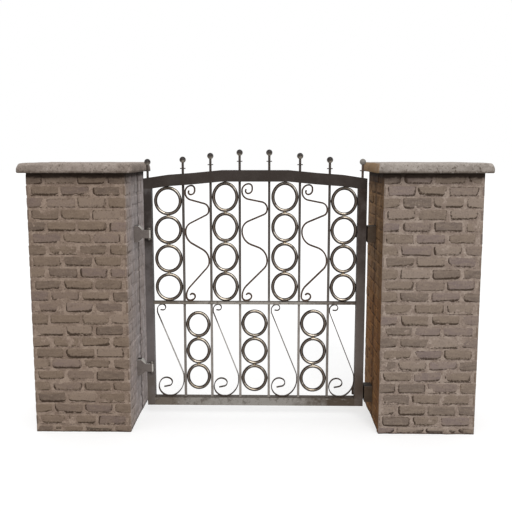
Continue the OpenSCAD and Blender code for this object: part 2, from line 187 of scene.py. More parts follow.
def lattice_shell(counts):
    """Lattice points on the surface of a box with this many cells each way, and its outward quads."""
    index, faces = {}, []
    for flat, a, b in ((2, 0, 1), (1, 0, 2), (0, 1, 2)):
        for level in (0, counts[flat]):
            turned = (level > 0) != (flat == 1)
            for i in range(counts[a]):
                for j in range(counts[b]):
                    quad = []
                    for da, db in ((0, 0), (0, 1), (1, 1), (1, 0)):
                        point = [level] * 3
                        point[a], point[b] = i + da, j + db
                        quad.append(index.setdefault(tuple(point), len(index)))
                    faces.append(quad[::-1] if turned else quad)
    return np.array(list(index)), faces


def knots(rounding, flat):
    """Sign and rounding share of each lattice plane across a rounded side."""
    edge = [(-1, 1 - n / rounding) for n in range(rounding)]
    middle = [(-1 + 2 * n / flat, 0) for n in range(flat + 1)]
    return edge + middle + [(1, (n + 1) / rounding) for n in range(rounding)]


def tube_faces(rows, count):
    """Quads of a closed tube of rows + 1 loops with this many points each, and its two end faces."""
    faces = []
    for r in range(rows):
        for n in range(count):
            m = (n + 1) % count
            faces.append([r * count + n, r * count + m, (r + 1) * count + m, (r + 1) * count + n])
    return faces + [list(range(count))[::-1], [rows * count + n for n in range(count)]]


# ---------------------------------------------------------------- brickwork
def course_ends(width, wraps, rng):
    """Start and end of each brick along one face in one course."""
    if wraps:
        bricks = width - 3 * JOINT
        middle = bricks * MIDDLE_SHARE
        end = (bricks - 2 * middle) / 2
        lengths, start = [end, middle, middle, end], -width / 2
    else:
        lengths, start = [(width - sum(END_MARGINS) - 2 * JOINT) / 3] * 3, -width / 2 + END_MARGINS[0]
    cuts = []
    for length in lengths:
        cuts.append([start, start + length])
        start += length + JOINT
    for before, after in zip(cuts, cuts[1:]):
        shift = rng.uniform(-5, 5) * MM
        open_up = rng.uniform(-2.5, 3) * MM
        before[1] += shift - open_up / 2
        after[0] += shift + open_up / 2
    if not wraps:
        cuts[0][0] += rng.uniform(-4, 3) * MM
        cuts[-1][1] += rng.uniform(-3, 4) * MM
    return cuts


def painted_rim_shadow(signs, share, ends, rng):
    """Painted shadow round a brick, on its own rounded edge: deepest below it and at its left, least above it."""
    below, above = rng.uniform(0.55, 0.98), rng.uniform(0.1, 0.62)
    left, right = rng.uniform(0.3, 0.95) * ends[0], rng.uniform(0.15, 0.75) * ends[1]
    upright = np.where(share[:, 2] > 0, np.where(signs[:, 2] < 0, below, above), 0)
    across = np.where(share[:, 0] > 0, np.where(signs[:, 0] < 0, left, right), 0)
    depth = np.minimum(share * RIM_RISE, 1)
    return np.maximum(upright * depth[:, 2], across * depth[:, 0])


def brick_points(signs, share, half, ends, rng):
    """One tumbled brick: every corner is rounded by its own amount. y is the outward direction.

    signs and share say for each point which side it belongs to and how far round the edge it is."""
    corner = rng.uniform(5, 15, size=(2, 2)) * MM   # [left, right], [below, above]
    corner[:, 0] += rng.uniform(2, 10, size=2) * MM
    corner[np.array(ends) == 0] = 2 * MM
    right, up = (signs[:, 0] + 1) / 2, (signs[:, 2] + 1) / 2
    tall = ((corner[0, 0] * (1 - right) + corner[1, 0] * right) * (1 - up)
            + (corner[0, 1] * (1 - right) + corner[1, 1] * right) * up)
    edge = rng.uniform(2.5, 4.5) * MM
    # rim is the painted shadow line on this brick's rounded edge.
    rim = painted_rim_shadow(signs, share, ends, rng)
    radii = np.stack([tall * CORNER_STRETCH, np.full(len(tall), edge), tall], axis=1)
    norm = np.sqrt((share ** 2).sum(axis=1))
    scale = np.where(norm > 0, share.max(axis=1) / np.maximum(norm, 1e-9), 1)
    return signs * (half - radii) + np.sign(signs) * share * scale[:, None] * radii, rim


def dust_film(side, owners, y, depth):
    """How much dust film lies at each place: none on most faces, and more towards the back of one."""
    at_front, rise = 0.3, 2.2
    amount = np.clip((y / depth + 0.5) * rise + at_front, 0, 1)
    return amount * (owners == VEILED_FACE) * (side == VEILED_SIDE)


def lean_out(verts, p):
    """Moves a pillar's back inner corner and its outer side a little outwards, as it was built."""
    inward = -np.sign(p.centre_x)
    across = (verts[:, 0] - p.centre_x) * inward / (p.width / 2)
    inner = np.clip(across, 0, 1) * np.clip(verts[:, 1] / (p.depth / 2), 0, 1)
    verts[:, 0] += inward * (inner * SKEW - np.clip(-across, 0, 1) * SPREAD)


def build_bricks(p, seed):
    """All bricks of one pillar, as one mesh, and where they lie. Bricks turn the corner on every second course."""
    rng = np.random.default_rng(seed)
    planes = [np.array(knots(3, 3)), np.array(knots(2, 1)[2:]), np.array(knots(2, 2))]
    shell, quads = lattice_shell([len(plane) - 1 for plane in planes])
    signs, share = (np.stack([plane[shell[:, n], column] for n, plane in enumerate(planes)], axis=1)
                    for column in (0, 1))
    verts, faces, tone, spin, crease_shadow = [], [], [], [], []
    places = {face: [] for face in FACE_NAMES}
    for row in range(int((p.height - FIRST_BED) / COURSE) + 2):
        bed = p.height - FIRST_BED - row * COURSE
        high = min(bed + BRICK_H, p.height - 3 * MM)
        low = max(bed, 2 * MM)
        if high - low < LEAST_BRICK_H:
            continue
        for turn, (face, normal, along) in enumerate(FACES):
            span, reach = (p.width, p.depth / 2) if face in ("front", "back") else (p.depth, p.width / 2)
            for a, b in course_ends(span, (row + turn) % 2 == 0, rng):
                z0, z1 = np.array([low, high]) + rng.uniform(-EDGE_SHIFT, EDGE_SHIFT, size=2) * MM
                half = np.array([(b - a) / 2, SLIP / 2, (z1 - z0) / 2])
                ends = [float(a > 1 * MM - span / 2), float(b < span / 2 - 1 * MM)]   # 0 at a pillar's corner
                local, rim = brick_points(signs, share, half, ends, rng)
                lean = math.radians(rng.normal(0, BRICK_LEAN))
                proud = rng.uniform(-BRICK_PROUD, BRICK_PROUD) * MM
                s = (a + b) / 2 + local[:, 0] * math.cos(lean) - local[:, 2] * math.sin(lean)
                z = (z0 + z1) / 2 + local[:, 0] * math.sin(lean) + local[:, 2] * math.cos(lean)
                out = reach - SLIP / 2 + proud + local[:, 1]
                x, y = (step * s + way * out for step, way in zip(along, normal))
                base = len(shell) * len(verts)
                faces += [[base + i for i in quad] for quad in quads]
                verts.append(np.stack([p.centre_x + x, y, z], axis=1))
                places[face].append((a, b, z0, z1))
                crease_shadow.append(rim)
                tone.append(np.full(len(shell), rng.random()))
                spin.append(np.full(len(shell), rng.random()))
    verts = np.concatenate(verts)
    wobble = [lumps(verts, ((34, 1.3), (13, 0.6)), seed + n, seed_step=9) for n in range(3)]
    verts = verts + np.stack(wobble, axis=1)
    verts[:, 2] = np.clip(verts[:, 2], 0, p.height - 1 * MM)
    widest = p.width / 2 + 2 * MM
    verts[:, 0] = p.centre_x + np.clip(verts[:, 0] - p.centre_x, -widest, widest)
    away = [np.abs((verts[:, 0] - p.centre_x) * nx + verts[:, 1] * ny - (p.width if nx else p.depth) / 2)
            for _, (nx, ny), _ in FACES]
    owners = FACE_NAMES[np.argmin(away, axis=0)]
    data = {"tone": np.concatenate(tone), "spin": np.concatenate(spin), "crease_shadow": np.concatenate(crease_shadow),
            "tint": np.array([p.tints[face] for face in owners]),
            "veil": dust_film(p.side, owners, verts[:, 1], p.depth)}
    lean_out(verts, p)
    return new_object(p.side + "_bricks", verts, faces, data), places


def painted_joint_shadow(along, up, places):
    """Painted shadow on the mortar at each point: dark close below a brick, less beside and above it."""
    shade = np.zeros(len(along))
    round_off = 7 * MM
    below, beside, above = 0.95, 0.5, 0.25
    for a, b, z0, z1 in places:
        near = (along > a - 2 * CREASE_SHADOW) & (along < b + 2 * CREASE_SHADOW) & (up > z0 - 2 * CREASE_SHADOW) & (up < z1 + 2 * CREASE_SHADOW)
        s, z = along[near], up[near]
        qs = np.abs(s - (a + b) / 2) - (b - a) / 2 + round_off
        qz = np.abs(z - (z0 + z1) / 2) - (z1 - z0) / 2 + round_off
        away = np.hypot(np.maximum(qs, 0), np.maximum(qz, 0)) + np.minimum(np.maximum(qs, qz), 0) - round_off
        weight = np.where(z < z0 + 3 * MM, below, np.where(z > z1 - 2 * MM, above, beside))
        shade[near] = np.maximum(shade[near], weight * np.clip(1 - np.abs(away) / CREASE_SHADOW, 0, 1))
    return shade


def build_mortar(p, places, seed):
    """The pillar's body between the bricks: a rough closed block a little smaller than the brickwork."""
    hx, hy = p.width / 2 - RECESS, p.depth / 2 - RECESS
    loop, outward, owners, run = [], [], [], []
    for face, normal, along in FACES:
        span, reach = (hx, hy) if face in ("front", "back") else (hy, hx)
        steps = round(2 * span / MORTAR_CELL)
        for n in range(steps):
            s = -span + 2 * span * n / steps
            loop.append([step * s + out * reach for step, out in zip(along, normal)])
            outward.append(normal)
            owners.append(face)
            run.append(s)
    rows = round(p.height / MORTAR_CELL)
    verts = np.concatenate([np.column_stack([loop, np.full(len(loop), z)])
                            for z in np.linspace(0, p.height, rows + 1)])
    owners, run = np.tile(owners, rows + 1), np.tile(run, rows + 1)
    smear = np.clip(smooth_noise(verts, 55 * MM, seed + 2) * 3 - 1.2, 0, 1) * SMEAR
    rough = lumps(verts, ((22, 1.0), (9, 1.0)), seed) + smear
    from_corner = np.maximum(hx - np.abs(verts[:, 0]), hy - np.abs(verts[:, 1]))
    near = np.clip(1 - from_corner / FILLED_CORNER, 0, 1)
    rough = rough * (1 - near) + near * (RECESS - 0.4 * MM)
    verts[:, :2] += np.tile(np.array(outward, dtype=float), (rows + 1, 1)) * rough[:, None]
    # Painted shadow on the mortar close below and beside the bricks.
    crease_shadow = np.zeros(len(verts))
    for face in FACE_NAMES:
        mine = owners == face
        crease_shadow[mine] = painted_joint_shadow(run[mine], verts[mine, 2], places[face])
    data = {"tint": np.array([p.tints[face] for face in owners]), "crease_shadow": crease_shadow,
            "veil": dust_film(p.side, owners, verts[:, 1], p.depth)}
    verts[:, 0] += p.centre_x
    lean_out(verts, p)
    return new_object(p.side + "_mortar", verts, tube_faces(rows, len(loop)), data)


# ---------------------------------------------------------------- cap stones
def build_cap(side, seed):
    """A worn slab: flat underneath, upright edge, then a rounded bevel up to the top."""
    low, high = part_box(side + "_cap")
    centre, half = (low + high) / 2, (high - low) / 2
    thick = high.z - low.z
    section = [(half.x * share, half.y * share, 0) for share in CAP_UNDERSIDE]
    section += [(half.x + CAP_OVER[0] + out * MM, half.y + CAP_OVER[1] + out * MM, up) for out, up in CAP_EDGE]
    section += [(half.x * share, half.y * share, CAP_TOP) for share in CAP_FLAT]
    verts = []
    for hx, hy, up in section:
        for (cx, cy), (dx, dy) in (((-1, -1), (1, 0)), ((1, -1), (0, 1)), ((1, 1), (-1, 0)), ((-1, 1), (0, -1))):
            for n in range(CAP_SIDE_POINTS):
                t = 2 * n / CAP_SIDE_POINTS
                verts.append((hx * (cx + dx * t), hy * (cy + dy * t), up / CAP_THICK * thick))
    verts = np.array(verts)
    inside = np.array([half.x, half.y]) - np.abs(verts[:, :2])
    to_edge, to_corner = inside.min(axis=1), inside.max(axis=1)
    reach, worn_off = CAP_CORNER
    pull = np.clip(1 - to_corner / reach, 0, 1) ** 2 * worn_off
    verts[:, :2] -= np.sign(verts[:, :2]) * pull[:, None]
    rim = np.clip(1 - to_edge / CAP_RIM, 0, 1)
    wear = lumps(verts, ((70, 1.6), (19, 0.9), (8, 0.35)), seed)
    side_of = verts[:, :2] / np.array([half.x, half.y])
    side_of = np.sign(side_of) * (np.abs(side_of) > np.abs(side_of).max(axis=1, keepdims=True) - 0.02)
    verts[:, :2] -= side_of * ((wear - 0.5 * MM) * rim * (verts[:, 2] > 1 * MM))[:, None]
    verts[:, 2] -= (verts[:, 2] > 0.6 * thick) * (0.4 * MM + wear * 0.6)
    verts += np.array([centre.x, centre.y, low.z])
    return new_object(side + "_cap_stone", verts, tube_faces(len(section) - 1, 4 * CAP_SIDE_POINTS))


# ---------------------------------------------------------------- weld beads
def ball_points(rings=6, around=10):
    """A unit ball of this many rings, with triangles at its poles."""
    points = [(0, 0, -1)]
    for r in range(1, rings):
        tilt = math.pi * r / rings - math.pi / 2
        for a in range(around):
            turn = 2 * math.pi * a / around
            points.append((math.cos(tilt) * math.cos(turn), math.cos(tilt) * math.sin(turn), math.sin(tilt)))
    points.append((0, 0, 1))
    faces = [[0, 1 + (a + 1) % around, 1 + a] for a in range(around)]
    for r in range(rings - 2):
        for a in range(around):
            b = (a + 1) % around
            faces.append([1 + r * around + a, 1 + r * around + b, 1 + (r + 1) * around + b, 1 + (r + 1) * around + a])
    top = len(points) - 1
    start = 1 + (rings - 2) * around
    faces += [[start + a, start + (a + 1) % around, top] for a in range(around)]
    return np.array(points), faces


def ends_of(node, axis, limit, side):
    """Middles of the stretches that reach a scroll's outermost line on one axis."""
    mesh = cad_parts[node].data
    co = np.zeros(len(mesh.vertices) * 3, np.float32)
    mesh.vertices.foreach_get("co", co)
    co = co.reshape(-1, 3).astype(float)
    there = np.sort(co[side * (co[:, axis] - limit) > -0.4 * MM][:, 2 - axis])
    groups = np.split(there, np.nonzero(np.diff(there) > 60 * MM)[0] + 1)
    return [float((g[0] + g[-1]) / 2) for g in groups]


def bar_beside(x):
    """Whether a bar's right side lies within a millimetre of this place."""
    bars = [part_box(n)[1].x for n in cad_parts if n.startswith("upright") or n == "hinge_stile"]
    return min(abs(x - b) for b in bars) < 1 * MM


def ring_welds(node):
    """Beads of one column of rings: at the bars and rails, and between two rings. Each is a place and half sizes."""
    low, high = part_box(node)
    upper = node.startswith("upper")
    count = 4 if upper else 3
    step = (high.z - low.z) / count
    middle = (low.x + high.x) / 2
    at_bars, between = [], []
    for n in range(count):
        z = low.z + (n + 0.5) * step
        at_bars.append(((high.x, 0, z), RING_TO_BAR))
        if node not in OPEN_ON_LEFT:
            at_bars.append(((low.x, 0, z), RING_TO_BAR))
        if n:
            between.append(((middle, 0, low.z + n * step), RING_TO_RING))
    if upper:
        at_bars += [((middle, 0, z), RING_TO_RAIL) for z in (low.z, high.z + WELD_GAP)]
    return at_bars, between


def scroll_welds(node):
    """Beads of one scroll: where it touches the bars beside it, and at its foot and head."""
    low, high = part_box(node)
    beads = [((high.x, 0, z), SCROLL_TO_BAR) for z in ends_of(node, 0, high.x, 1)]
    if bar_beside(low.x):
        beads += [((low.x, 0, z), SCROLL_TO_BAR) for z in ends_of(node, 0, low.x, -1)]
    beads += [((x, 0, low.z), SCROLL_FOOT) for x in ends_of(node, 2, low.z, -1)]
    if node.startswith("diagonal"):
        beads += [((x, 0, high.z), SCROLL_HEAD) for x in ends_of(node, 2, high.z, 1)]
    return beads


def build_welds(name, beads):
    unit, quads = ball_points()
    verts, faces = [], []
    for n, (place, half) in enumerate(beads):
        verts.append(unit * np.array(half) * MM + np.array(place))
        faces += [[len(unit) * n + i for i in quad] for quad in quads]
    verts = np.concatenate(verts)
    verts += np.stack([lumps(verts, ((4, 0.5),), 60 + n) for n in range(3)], axis=1)
    return new_object(name, verts, faces)


# ---------------------------------------------------------------- materials
METAL_SHEEN = 0.12                 # specular level of painted metal


def rgb(colour):
    """A screen colour, 0 to 255, as linear light."""
    shares = (c / 255 for c in colour)
    return tuple(c / 12.92 if c <= 0.04045 else ((c + 0.055) / 1.055) ** 2.4 for c in shares)


def lighter(colour, change):
    """A screen colour with each part raised, or lowered, by this much."""
    return tuple(c + change for c in colour)


class Nodes:
    """Short calls for building one node material in the object's own space."""

    def __init__(self, name):
        self.material = bpy.data.materials.new(name)
        self.material.use_nodes = True
        self.tree = self.material.node_tree
        self.shader = self.tree.nodes["Principled BSDF"]
        self.place = self.add("ShaderNodeTexCoord")

    def add(self, kind, **settings):
        node = self.tree.nodes.new(kind)
        for key, value in settings.items():
            setattr(node, key, value)
        return node

    def feed(self, socket, value):
        """Gives a socket a number or a linear colour, or links another node's output to it."""
        if isinstance(value, tuple):
            socket.default_value = (*value, 1.0)
        elif isinstance(value, (int, float)):
            socket.default_value = value
        else:
            self.tree.links.new(value, socket)

    def attribute(self, name, output="Fac"):
        return self.add("ShaderNodeAttribute", attribute_name=name).outputs[output]

    def split(self, kind, axis):
        node = self.add("ShaderNodeSeparateXYZ")
        self.feed(node.inputs["Vector"], self.place.outputs[kind])
        return node.outputs[axis]

    def at(self, axis):
        """The place on one axis, in metres."""
        return self.split("Object", axis)

    def facing(self, axis):
        """How far the surface faces along one axis, from -1 to 1."""
        return self.split("Normal", axis)

    def noise(self, scale, detail, rough, stretch=(1, 1, 1)):
        """Noise with this many lumps per metre."""
        place = self.add("ShaderNodeMapping")
        place.inputs["Scale"].default_value = stretch
        self.feed(place.inputs["Vector"], self.place.outputs["Object"])
        node = self.add("ShaderNodeTexNoise")
        for key, value in (("Scale", scale), ("Detail", detail), ("Roughness", rough),
                           ("Vector", place.outputs["Vector"])):
            self.feed(node.inputs[key], value)
        return node.outputs["Fac"]

    def cells(self, scale):
        """Distance from the middle of the nearest of this many cells per metre."""
        node = self.add("ShaderNodeTexVoronoi")
        self.feed(node.inputs["Scale"], scale)
        self.feed(node.inputs["Vector"], self.place.outputs["Object"])
        return node.outputs["Distance"]

    def steps(self, value, low, high, to_low=0.0, to_high=1.0):
        """A value's smooth way from to_low, at low, to to_high, at high."""
        node = self.add("ShaderNodeMapRange", interpolation_type="SMOOTHSTEP")
        for key, number in (("Value", value), ("From Min", low), ("From Max", high), ("To Min", to_low),
                            ("To Max", to_high)):
            self.feed(node.inputs[key], number)
        return node.outputs["Result"]

    def math(self, operation, a, b=0):
        node = self.add("ShaderNodeMath", operation=operation)
        for socket, value in zip(node.inputs, (a, b)):
            self.feed(socket, value)
        return node.outputs["Value"]

    def times(self, a, b):
        return self.math("MULTIPLY", a, b)

    def plus(self, a, b):
        return self.math("ADD", a, b)

    def unsigned(self, value):
        return self.math("ABSOLUTE", value)

    def waver(self, value, reach, scale, detail=4, rough=0.6):
        """A value with noise added, up to this reach both ways, so that what is drawn by it has a ragged edge."""
        return self.plus(value, self.steps(self.noise(scale, detail, rough), 0.3, 0.7, -reach, reach))

    def mix(self, share, a, b, blend="MIX"):
        node = self.add("ShaderNodeMix", data_type="RGBA", blend_type=blend)
        for key, value in (("Factor", share), ("A", a), ("B", b)):
            self.feed(next(s for s in node.inputs if s.name == key and s.enabled), value)
        return next(s for s in node.outputs if s.enabled)

    def blend(self, value, start, end, a, b):
        """From one screen colour to another while a value goes from start to end."""
        return self.mix(self.steps(value, start, end), rgb(a), rgb(b))

    def lay(self, colour, paint, value, start, end, share=1.0):
        """Lays a screen colour over another: none of it where the value is at start, this share of it at end."""
        return self.mix(self.steps(value, start, end, 0, share), colour, rgb(paint))

    def bump(self, *layers):
        """Stacks layers, each a value, a strength and a depth in mm, into one normal."""
        normal = None
        for value, strength, depth in layers:
            node = self.add("ShaderNodeBump")
            for key, number in (("Height", value), ("Strength", strength), ("Distance", depth * MM)):
                self.feed(node.inputs[key], number)
            if normal is not None:
                self.feed(node.inputs["Normal"], normal)
            normal = node.outputs["Normal"]
        self.feed(self.shader.inputs["Normal"], normal)

    def pitted_iron(self):
        self.bump((self.noise(90, 5, 0.6), 0.35, 0.6), (self.noise(500, 3, 0.6), 0.25, 0.2))

    def fine_iron(self):
        self.bump((self.noise(120, 5, 0.6), 0.3, 0.5))

    def finish(self, colour, roughness, specular, metallic=0.0):
        for key, value in (("Base Color", colour), ("Roughness", roughness), ("Specular IOR Level", specular),
                           ("Metallic", metallic)):
            self.feed(self.shader.inputs[key], value)
        return self.material


def rust_side(m, colour):
    """The right pillar's inner face: rust-brown low down, painted shade under the cap, and darker at its front corner
    and in a seam.
    """
    inner = m.times(m.steps(m.facing("X"), -0.4, -0.8), m.steps(m.at("X"), 0.3, 0.5))
    patches = m.steps(m.noise(7, 5, 0.65, (1, 1, 0.5)), 0.35, 0.62, 0.25, 0.85)
    low = m.times(m.steps(m.at("Z"), 0.95, 0.6), patches)
    colour = m.mix(m.times(low, inner), colour, m.mix(1.0, colour, (1.18, 0.9, 0.6), "MULTIPLY"))
    y, z = (m.waver(m.at(axis), 0.015, 18) for axis in "YZ")
    corner = m.steps(y, -0.11, -0.17, 0, 0.38)
    seam = m.steps(m.unsigned(y), 0.01, 0.03, 0.5, 0)
    # Painted shade under the cap stone, reaching 120 mm down this face.
    under = m.steps(z, PILLAR_TOP - 0.12, PILLAR_TOP - 0.04, 0, 0.7)
    dark = m.math("MAXIMUM", m.math("MAXIMUM", corner, seam), under)
    return m.mix(m.times(dark, inner), colour, rgb((48, 32, 24)))


def pillar_weather(m, colour, shadow_line_start, shadow_line_full):
    """What brick and mortar share: dust film, painted shadow round the bricks, each face's own cast mixed with
    painted light, and painted shade under the cap stone.
    """
    veil = m.attribute("veil")
    film = m.times(m.steps(m.noise(22, 4, 0.6, (1, 1, 0.12)), 0.35, 0.65, 0.55, 0.95), veil)
    dust = m.blend(m.noise(40, 4, 0.6, (1, 1, 0.3)), 0.4, 0.62, (134, 126, 122), (158, 150, 146))
    colour = m.mix(film, colour, dust)
    # Painted shadow lines round the bricks, fainter under the dust film.
    ragged = m.waver(m.attribute("crease_shadow"), 0.3, 90, 6, 0.75)
    shadow_lines = m.times(m.steps(ragged, shadow_line_start, shadow_line_full, 0, 0.9), m.steps(veil, 0.3, 1.0, 1, 0.24))
    colour = m.mix(shadow_lines, colour, rgb((56, 44, 35)))
    from_seam = m.unsigned(m.plus(m.waver(m.at("Y"), 0.006, 14), -SEAM))
    seam = m.times(m.steps(from_seam, 0.005, 0.016, 0.8, 0), m.steps(veil, 0.5, 0.9))
    colour = m.mix(seam, colour, rgb((64, 57, 53)))
    colour = m.mix(1.0, colour, m.attribute("tint", "Color"), "MULTIPLY")
    colour = rust_side(m, colour)
    z = m.at("Z")
    # Painted shade under the cap stone: a darker band over the top 80 mm, and a near-black line just below the stone.
    colour = m.lay(colour, (60, 48, 42), m.waver(z, 0.012, 9, 3, 0.5), PILLAR_TOP - 0.08, PILLAR_TOP - 0.01, 0.5)
    colour = m.lay(colour, (42, 32, 26), m.waver(z, 0.004, 40, 3, 0.5), PILLAR_TOP - 0.03, PILLAR_TOP - 0.018, 0.85)
    return m.lay(colour, (60, 48, 40), z, 0.014, 0.0, 0.5)


def brick_material():
    """Tumbled brick: each brick has its own tone and spin, both from 0 to 1."""
    m = Nodes("tumbled_brick")
    tone, spin = m.attribute("tone"), m.attribute("spin")
    specks, grain, cells = m.noise(125, 3, 0.6), m.noise(300, 4, 0.7), m.cells(190)
    colour = m.blend(tone, 0.0, 0.55, (105, 92, 83), (121, 106, 93))
    colour = m.lay(colour, (138, 123, 111), tone, 0.7, 1.0)
    colour = m.lay(colour, (122, 107, 102), spin, 0.6, 0.95, 0.7)
    colour = m.lay(colour, (140, 124, 108), m.noise(20, 5, 0.6, (1, 1, 3.2)), 0.36, 0.68, 0.45)
    colour = m.lay(colour, (88, 74, 62), m.noise(48, 6, 0.7), 0.52, 0.76, 0.45)
    colour = m.lay(colour, (156, 141, 127), specks, 0.56, 0.72, 0.5)
    colour = m.lay(colour, (82, 68, 58), specks, 0.44, 0.3, 0.5)
    colour = m.lay(colour, (160, 145, 130), grain, 0.56, 0.76, 0.4)
    colour = m.lay(colour, (80, 66, 56), grain, 0.44, 0.26, 0.45)
    colour = m.lay(colour, (70, 58, 50), cells, 0.22, 0.0, 0.3)
    colour = pillar_weather(m, colour, 0.42, 0.85)
    m.bump((m.noise(60, 6, 0.65), 0.7, 2.4), (grain, 0.5, 0.7), (m.steps(cells, 0.22, 0.0), -0.6, 0.8))
    return m.finish(colour, 0.93, 0.15)


def mortar_material():
    m = Nodes("sand_mortar")
    grit = m.noise(150, 4, 0.65)
    colour = m.blend(m.noise(30, 5, 0.6), 0.35, 0.68, (128, 112, 100), (154, 138, 125))
    colour = m.lay(colour, (184, 170, 156), grit, 0.54, 0.7, 0.6)
    colour = m.lay(colour, (86, 72, 62), m.noise(130, 5, 0.7), 0.52, 0.7, 0.6)
    colour = pillar_weather(m, colour, 0.45, 0.9)
    m.bump((m.noise(110, 6, 0.7), 0.8, 2.5), (grit, 0.6, 0.8))
    return m.finish(colour, 0.96, 0.1)


def cap_material(name, light, stained):
    """Worn sandstone with flecks, a painted highlight along its upper edge and painted shade along its lower edge.
    One has a brown side.
    """
    m = Nodes(name)
    z, grain, crust, cells = m.at("Z"), m.noise(280, 4, 0.7), m.noise(75, 5, 0.7), m.cells(60)
    colour = m.blend(m.noise(14, 6, 0.65), 0.38, 0.64, lighter(light, -20), lighter(light, 4))
    colour = m.lay(colour, lighter(light, 26), grain, 0.54, 0.72, 0.5)
    colour = m.lay(colour, lighter(light, -48), grain, 0.46, 0.3, 0.5)
    colour = m.lay(colour, (104, 92, 82), m.noise(34, 5, 0.7, (1, 1, 0.5)), 0.56, 0.72, 0.5)
    # Painted highlight along the top edge.
    colour = m.lay(colour, lighter(light, 22), m.waver(z, 0.005, 40), PILLAR_TOP + 0.032, PILLAR_TOP + 0.05, 0.6)
    # Painted shade along the lower edge.
    colour = m.lay(colour, (92, 80, 70), m.waver(z, 0.004, 60), PILLAR_TOP + 0.016, PILLAR_TOP + 0.002, 0.75)
    colour = m.lay(colour, lighter(light, 24), crust, 0.56, 0.7, 0.5)
    colour = m.lay(colour, lighter(light, -46), crust, 0.44, 0.32, 0.6)
    colour = m.lay(colour, (84, 74, 66), cells, 0.2, 0.0, 0.6)
    flecks = m.times(m.steps(m.noise(110, 3, 0.55, (1, 1, 0.7)), 0.58, 0.64),
                     m.steps(m.noise(16, 3, 0.6), 0.42, 0.58, 0.15, 0.85))
    colour = m.mix(flecks, colour, rgb((88, 77, 68)))
    colour = m.lay(colour, lighter(light, 30), m.noise(48, 4, 0.6), 0.57, 0.66, 0.4)
    if stained:
        back = m.steps(m.waver(m.at("Y"), 0.03, 26), -0.25, -0.15, 0.7, 0.85)
        colour = m.mix(m.times(m.steps(m.facing("X"), -0.3, -0.6), back), colour, rgb((144, 114, 78)))
    m.bump((m.noise(70, 6, 0.65), 0.6, 2.0), (grain, 0.5, 0.6), (m.steps(cells, 0.2, 0.0), -0.6, 1.0))
    return m.finish(colour, 0.92, 0.15)


def metal_material(name, top, middle, bottom, levels=(0.2, 0.62, 1.3), rough=0.6, blotch=18):
    """Aged painted metal in three colours, which change over at the levels, with blotches, rust and scratches."""
    m = Nodes(name)
    low, mid, high = levels
    colour = m.blend(m.at("Z"), low, mid, bottom, middle)
    colour = m.lay(colour, top, m.at("Z"), mid, high)
    colour = m.lay(colour, lighter(middle, blotch), m.noise(11, 5, 0.6), 0.4, 0.7, 0.4)
    colour = m.lay(colour, (62, 45, 34), m.noise(38, 6, 0.7), 0.54, 0.76, 0.4)
    colour = m.lay(colour, (138, 126, 114), m.noise(120, 5, 0.7), 0.58, 0.76, 0.35)
    m.pitted_iron()
    return m.finish(colour, m.steps(m.noise(45, 5, 0.6), 0.3, 0.75, rough - 0.1, rough + 0.2), METAL_SHEEN)


def rail_material(name, left, middle, right):
    """A rail that is dustiest in its middle, mottled with bare grey spots and dark rust."""
    m = Nodes(name)
    x = m.waver(m.at("X"), 0.1, 7)
    colour = m.blend(x, -0.45, -0.2, left, middle)
    colour = m.lay(colour, right, x, 0.18, 0.46)
    colour = m.lay(colour, lighter(left, -42), m.noise(32, 6, 0.7), 0.52, 0.66, 0.6)
    colour = m.lay(colour, (172, 168, 163), m.noise(55, 5, 0.7, (0.6, 1, 1)), 0.55, 0.7, 0.6)
    colour = m.lay(colour, (70, 58, 49), m.noise(150, 4, 0.65), 0.56, 0.72, 0.5)
    colour = m.lay(colour, (66, 55, 46), m.facing("Z"), 0.4, 0.8, 0.75)
    m.pitted_iron()
    return m.finish(colour, 0.65, METAL_SHEEN)


def rod_material():
    """Square bars: dark above the mid rail, dusty below it, most of all in the middle bays."""
    m = Nodes("aged_rod_paint")
    dusty = m.blend(m.unsigned(m.at("X")), 0.2, 0.4, (152, 145, 139), (128, 121, 115))
    dark = m.blend(m.at("Z"), 0.75, 1.2, (103, 97, 92), (79, 73, 69))
    colour = m.mix(m.steps(m.at("Z"), 0.6, 0.7), dusty, dark)
    colour = m.lay(colour, (58, 48, 41), m.noise(30, 5, 0.65), 0.45, 0.7, 0.35)
    colour = m.lay(colour, (140, 130, 120), m.noise(140, 4, 0.65), 0.58, 0.75, 0.4)
    m.bump((m.noise(90, 5, 0.6), 0.35, 0.6))
    return m.finish(colour, 0.6, METAL_SHEEN)


def diagonal_material():
    """Thin flat bar: dark curls, and a painted highlight on the long straight between them, palest at its left."""
    m = Nodes("diagonal_paint_painted_highlight")
    straight = m.times(m.steps(m.at("Z"), 0.22, 0.27), m.steps(m.at("Z"), 0.56, 0.5))
    # Painted highlight on the straight, palest at its left.
    pale = m.blend(m.at("X"), -0.1, 0.35, (182, 178, 174), (96, 88, 82))
    colour = m.mix(m.times(straight, 0.9), rgb((62, 51, 43)), pale)
    colour = m.lay(colour, (84, 66, 52), m.noise(40, 5, 0.65), 0.5, 0.75, 0.4)
    m.fine_iron()
    return m.finish(colour, 0.55, METAL_SHEEN)


